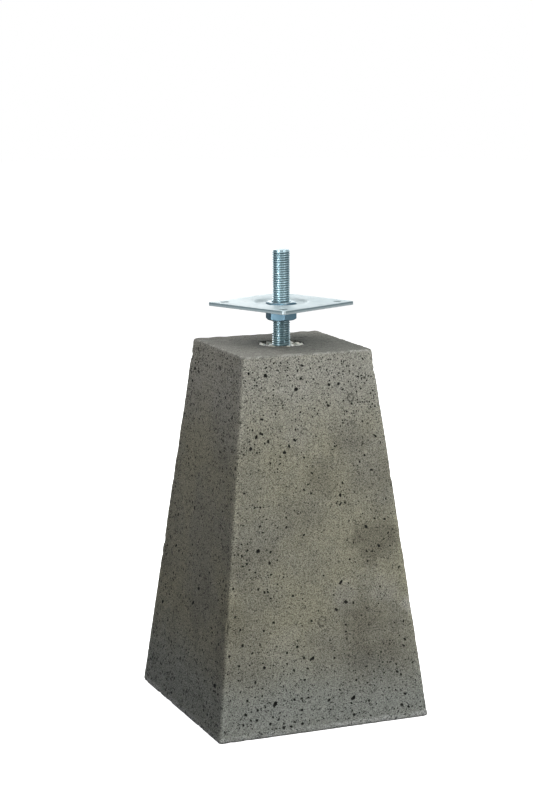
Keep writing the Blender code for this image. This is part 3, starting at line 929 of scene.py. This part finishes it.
def welded_nut():
    """A closed ring: out over the top face, down the bevel, the side and the lower bevel, in over the
    lower face and up the bore."""
    angle = 2 * pi * np.arange(NUT_COLUMNS) / NUT_COLUMNS
    side = np.minimum(hexagon_radius(angle, NUT_ACROSS_FLATS), NUT_CORNER_RADIUS)
    drop = np.clip(side - NUT_BEVEL_START, 0, None) * tan(pi / 6)
    top, foot = PLATE_TOP, PLATE_TOP - NUT_HEIGHT
    flat = np.minimum(side - 0.0001, NUT_BEVEL_START)
    rows = [
        (NUT_BORE, top - NUT_BORE_BEVEL_DEPTH),
        (NUT_BORE + NUT_BORE_BEVEL, top),
        (flat, top),
        (side - NUT_EASE, top - drop),
        (side, top - drop - NUT_EASE_DEPTH),
        (side, foot + drop + NUT_EASE_DEPTH),
        (side - NUT_EASE, foot + drop),
        (flat, foot),
        (NUT_BORE + NUT_BORE_BEVEL, foot),
        (NUT_BORE, foot + NUT_BORE_BEVEL_DEPTH),
    ]
    faces = ring_faces(len(rows), NUT_COLUMNS, closed=True)[:, ::-1]
    ring = add_piece("zinc_nut", around_axis(rows, angle + PLATE_TURN), [faces], 22.0)
    # Painted highlight: the top face and its bevel take the pale zinc
    point_values(ring, "pale", np.repeat([0, 1, 1, 0, 0, 0, 0, 0, 0, 0], NUT_COLUMNS))
    return ring


nut = welded_nut()
nut.data.materials.append(
    bright_zinc("zinc_on_nut", NUT_SHADED_TINT, NUT_SHADED_DULL, NUT_ROUGHNESS, 90.0, (300.0, 300.0, 300.0))
)
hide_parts("nut")
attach(nut, "head")

# The plate: a square of 4 mm steel with round corners, pressed into a shallow round dish at its middle
# and punched for the nut and for a screw near each corner, then zinc plated with a pale blue tint.

PLATE_WIDTH = 0.112
PLATE_THICKNESS = 0.004
PLATE_CORNER = 0.003
PLATE_EDGE = 0.0006
DISH_RADIUS = 0.031
DISH_DEPTH = 0.0023
DISH_SLOPE = 0.0045
SEAT_GAP = 0.0003
SEAT_EASE = 0.0002
SCREW_HOLE_RADIUS = 0.0045
SCREW_HOLE_INSET = 0.013
SCREW_HOLE_FLARE = 0.0005
PUNCH_PAST = 0.001
PUNCH_COLUMNS = 40
SHADED_WITHIN = 0.0001
PLATE_TINT = (0.78, 0.825, 0.83, 1)
PLATE_DULL = (0.70, 0.765, 0.775, 1)
PLATE_ROUGHNESS = 0.45
PLATE_METAL = 0.82


def pressed_plate():
    """A closed ring, in directions round the axis that meet every corner of the square and of the hexagon:
    out from the hexagon hole over the dish and the flat, round the edge, back underneath, up the hole."""
    half = np.array([PLATE_WIDTH / 2])
    square = rounded_square(half, np.array([PLATE_CORNER]), 26, 8)[0]
    angle = np.arctan2(square[:, 1], square[:, 0]) % (2 * pi)
    corners = np.arange(6) * pi / 3
    extra = np.setdiff1d(np.round(corners, 6), np.round(angle, 6))
    flat = PLATE_WIDTH / 2 / np.maximum(np.abs(np.cos(extra)), np.abs(np.sin(extra)))
    angle = np.concatenate([angle, extra])
    reach = np.concatenate([np.linalg.norm(square, axis=1), flat])
    order = np.argsort(angle)
    angle, reach = angle[order], reach[order]
    seat = hexagon_radius(angle, NUT_ACROSS_FLATS + 2 * SEAT_GAP)
    floor = DISH_RADIUS - DISH_SLOPE
    foot = -PLATE_THICKNESS
    rows = [(seat + SEAT_EASE, -DISH_DEPTH), (0.5 * (seat + floor), -DISH_DEPTH)]
    share = np.linspace(0, 1, 8)
    for s in share:
        rows.append((floor + DISH_SLOPE * s, -DISH_DEPTH * (1 - s * s * (3 - 2 * s))))
    for s in (0.33, 0.66):
        rows.append((DISH_RADIUS + s * (reach - PLATE_EDGE - DISH_RADIUS), 0.0))
    for bend in np.linspace(0, pi / 2, 4):
        rows.append((reach - PLATE_EDGE * (1 - sin(bend)), -PLATE_EDGE * (1 - cos(bend))))
    for bend in np.linspace(pi / 2, 0, 4):
        rows.append((reach - PLATE_EDGE * (1 - sin(bend)), foot + PLATE_EDGE * (1 - cos(bend))))
    for s in (0.66, 0.33):
        rows.append((DISH_RADIUS + s * (reach - PLATE_EDGE - DISH_RADIUS), foot))
    for s in share[::-1]:
        rows.append((floor + DISH_SLOPE * s, foot - DISH_DEPTH * (1 - s * s * (3 - 2 * s))))
    rows += [(0.5 * (seat + floor), foot - DISH_DEPTH), (seat, foot - DISH_DEPTH)]
    rows += [(seat, -DISH_DEPTH - SEAT_EASE)]
    points = around_axis([(r, PLATE_TOP + z) for r, z in rows], angle + PLATE_TURN)
    faces = ring_faces(len(rows), len(angle), closed=True)[:, ::-1]
    return add_piece("zinc_plate", points, [faces], 30.0)


def screw_hole_places():
    """Where the middle of each screw hole stands, across and back: the corners of a square turned with
    the plate."""
    reach = PLATE_WIDTH / 2 - SCREW_HOLE_INSET
    places = []
    for across, along in ((1, 1), (-1, 1), (-1, -1), (1, -1)):
        x = reach * (across * cos(PLATE_TURN) - along * sin(PLATE_TURN))
        y = reach * (across * sin(PLATE_TURN) + along * cos(PLATE_TURN))
        places.append((x, y))
    return places


def punched(plate):
    """Takes the four screw holes out of the plate. Each punch is a turned spindle, a little wider at
    both faces of the plate. Then it marks painted shade on the walls of the holes and on the plate's edge."""
    column = np.arange(PUNCH_COLUMNS)
    wide = SCREW_HOLE_RADIUS + SCREW_HOLE_FLARE
    levels = [
        (wide, PUNCH_PAST),
        (wide, 0.0),
        (SCREW_HOLE_RADIUS, -SCREW_HOLE_FLARE),
        (SCREW_HOLE_RADIUS, SCREW_HOLE_FLARE - PLATE_THICKNESS),
        (wide, -PLATE_THICKNESS),
        (wide, -PLATE_THICKNESS - PUNCH_PAST),
    ]
    spindle = around_axis(levels, 2 * pi * column / PUNCH_COLUMNS)
    sides = ring_faces(len(levels), PUNCH_COLUMNS)[:, ::-1]
    caps = np.stack([column, (len(levels) - 1) * PUNCH_COLUMNS + column[::-1]])
    for x, y in screw_hole_places():
        punch = add_piece("punch", spindle + (x, y, PLATE_TOP), [sides, caps])
        cut = plate.modifiers.new("screw_hole", "BOOLEAN")
        cut.operation = "DIFFERENCE"
        cut.solver = "EXACT"
        cut.object = punch
        left = bpy.data.meshes.new_from_object(plate.evaluated_get(bpy.context.evaluated_depsgraph_get()))
        plate.modifiers.remove(cut)
        plate.data = left
        bpy.data.objects.remove(punch, do_unlink=True)
    plate.data.shade_smooth()
    plate.data.set_sharp_from_angle(angle=radians(30.0))
    points = np.empty(len(plate.data.vertices) * 3, np.float32)
    plate.data.vertices.foreach_get("co", points)
    points = points.reshape(-1, 3)
    turned = Matrix.Rotation(-PLATE_TURN, 3, "Z")
    square = np.abs(points @ np.array(turned).T)
    # Painted shade: the plate's edge, darker on its upper half, and the walls of the screw holes are marked
    # for GROOVE_SHADE
    outside = square[:, :2].max(axis=1) > PLATE_WIDTH / 2 - SHADED_WITHIN
    groove = np.where(outside, np.where(points[:, 2] > PLATE_TOP - PLATE_THICKNESS / 2, 1.0, 0.4), 0.0)
    for x, y in screw_hole_places():
        groove[np.hypot(points[:, 0] - x, points[:, 1] - y) < SCREW_HOLE_RADIUS + SHADED_WITHIN] = 1.0
    point_values(plate, "groove", groove)


plate = pressed_plate()
punched(plate)
plate.data.materials.clear()
plate.data.materials.append(
    bright_zinc(
        "zinc_on_plate", PLATE_TINT, PLATE_DULL, PLATE_ROUGHNESS, 35.0, (500.0, 40.0, 500.0),
        metal=PLATE_METAL,
    )
)
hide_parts("plate")
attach(plate, "head")

# The studio: a pale floor, a broad soft light to the right of the camera, a narrow one to its left, and a
# bank behind that shows in the plate. The camera stands at the photograph's place, looking slightly down.

FLOOR_RINGS = (0.4, 1.5, 4.0, 9.0)
FLOOR_COLUMNS = 96
LIGHTS_AIM = Vector((0, 0, 0.30))
TO_CAMERA = Vector((-0.386, -0.922, 0.0))
TO_CAMERA_RIGHT = Vector((0.922, -0.386, 0.0))
CAMERA_PLACE = (-0.87934, -2.10023, 0.74873)
CAMERA_FORWARD = Vector((0.37362, 0.91039, -0.17777))
CAMERA_RIGHT = Vector((0.92492, -0.38014, -0.00289))
CAMERA_LENS = 95.63


def soft_light(name, azimuth, distance, height, width, tall, power, colour=(1.0, 1.0, 1.0)):
    """A rectangular light facing the object. The azimuth is in degrees to the right of the camera, and
    the distance is from the rod."""
    turn = radians(azimuth)
    towards = TO_CAMERA * cos(turn) + TO_CAMERA_RIGHT * sin(turn)
    data = bpy.data.lights.new(name, "AREA")
    data.shape = "RECTANGLE"
    data.size, data.size_y = width, tall
    data.energy = power
    data.color = colour
    light = bpy.data.objects.new(name, data)
    bpy.context.scene.collection.objects.link(light)
    light.location = towards * distance + Vector((0, 0, height))
    light.rotation_euler = (LIGHTS_AIM - light.location).to_track_quat("-Z", "Y").to_euler()
    light.visible_camera = False
    return light


def pale_floor():
    """A flat disc in rings, wide enough to pass out of every view."""
    column = np.arange(FLOOR_COLUMNS)
    rings = around_axis([(r, 0.0) for r in FLOOR_RINGS], 2 * pi * column / FLOOR_COLUMNS)
    faces = ring_faces(len(FLOOR_RINGS), FLOOR_COLUMNS)[:, ::-1]
    floor = add_piece("studio_floor", rings, [faces, column[None]])
    paint = Finish("floor_paint", Roughness=0.8)
    paint.set(Base_Color=(0.86, 0.86, 0.86, 1), Emission_Color=(1, 1, 1, 1), Emission_Strength=0.93)
    floor.data.materials.append(paint.material)
    return floor


studio_floor = pale_floor()
studio_floor.visible_diffuse = False
studio_floor.visible_glossy = False
key = soft_light("key", 47.0, 1.7, 1.10, 1.2, 1.9, 40.0)
key.visible_glossy = False
key_shine = soft_light("key_shine", 47.0, 1.7, 0.62, 0.30, 1.2, 4.4)
key_shine.visible_diffuse = False
strip = soft_light("strip", -40.0, 1.3, 0.60, 0.15, 1.20, 13.5, (0.92, 0.97, 1.0))
strip.visible_diffuse = False
left_high = soft_light("left_high", -95.0, 0.75, 1.25, 0.7, 0.5, 8.4, (1.0, 0.962, 0.985))
left_high.visible_glossy = False
soft_light("right_low", 96.0, 1.7, 0.45, 1.0, 1.1, 1.3, (0.90, 0.97, 1.0))
soft_light("bank_left", 194.0, 2.4, 0.75, 1.15, 0.9, 9.4)
soft_light("bank_right", 168.0, 2.5, 0.75, 1.0, 0.9, 4.6, (0.88, 0.97, 1.0))
soft_light("bank_high", 180.0, 1.9, 1.95, 2.6, 1.2, 4.9, (0.92, 0.98, 1.0))
soft_light("top", 20.0, 0.5, 2.1, 2.6, 2.6, 21.0)

# The surroundings look white to the camera, light the part dimly, and are a dim blue in the zinc
SURROUND_SEEN = (1.0, 1.0, 1.0, 1)
SURROUND_LIGHT = (0.086, 0.085, 0.082, 1)
SURROUND_MIRRORED = (0.17, 0.215, 0.235, 1)
world = bpy.data.worlds.new("studio")
bpy.context.scene.world = world
world.use_nodes = True
surround = world.node_tree
ray = surround.nodes.new("ShaderNodeLightPath")
seen = surround.nodes.new("ShaderNodeMix")
seen.data_type = "RGBA"
seen.inputs[6].default_value = SURROUND_LIGHT
seen.inputs[7].default_value = SURROUND_SEEN
surround.links.new(ray.outputs["Is Camera Ray"], seen.inputs[0])
shine = surround.nodes.new("ShaderNodeMix")
shine.data_type = "RGBA"
shine.inputs[7].default_value = SURROUND_MIRRORED
surround.links.new(ray.outputs["Is Glossy Ray"], shine.inputs[0])
surround.links.new(seen.outputs[2], shine.inputs[6])
surround.links.new(shine.outputs[2], surround.nodes["Background"].inputs["Color"])

camera = bpy.data.objects.new("camera", bpy.data.cameras.new("camera"))
bpy.context.scene.collection.objects.link(camera)
camera.data.lens = CAMERA_LENS
camera_up = CAMERA_RIGHT.cross(CAMERA_FORWARD)
axes = Matrix((CAMERA_RIGHT, camera_up, -CAMERA_FORWARD)).transposed()
camera.matrix_world = Matrix.Translation(CAMERA_PLACE) @ axes.to_4x4()
bpy.context.scene.camera = camera
bpy.context.scene.view_settings.view_transform = "Standard"
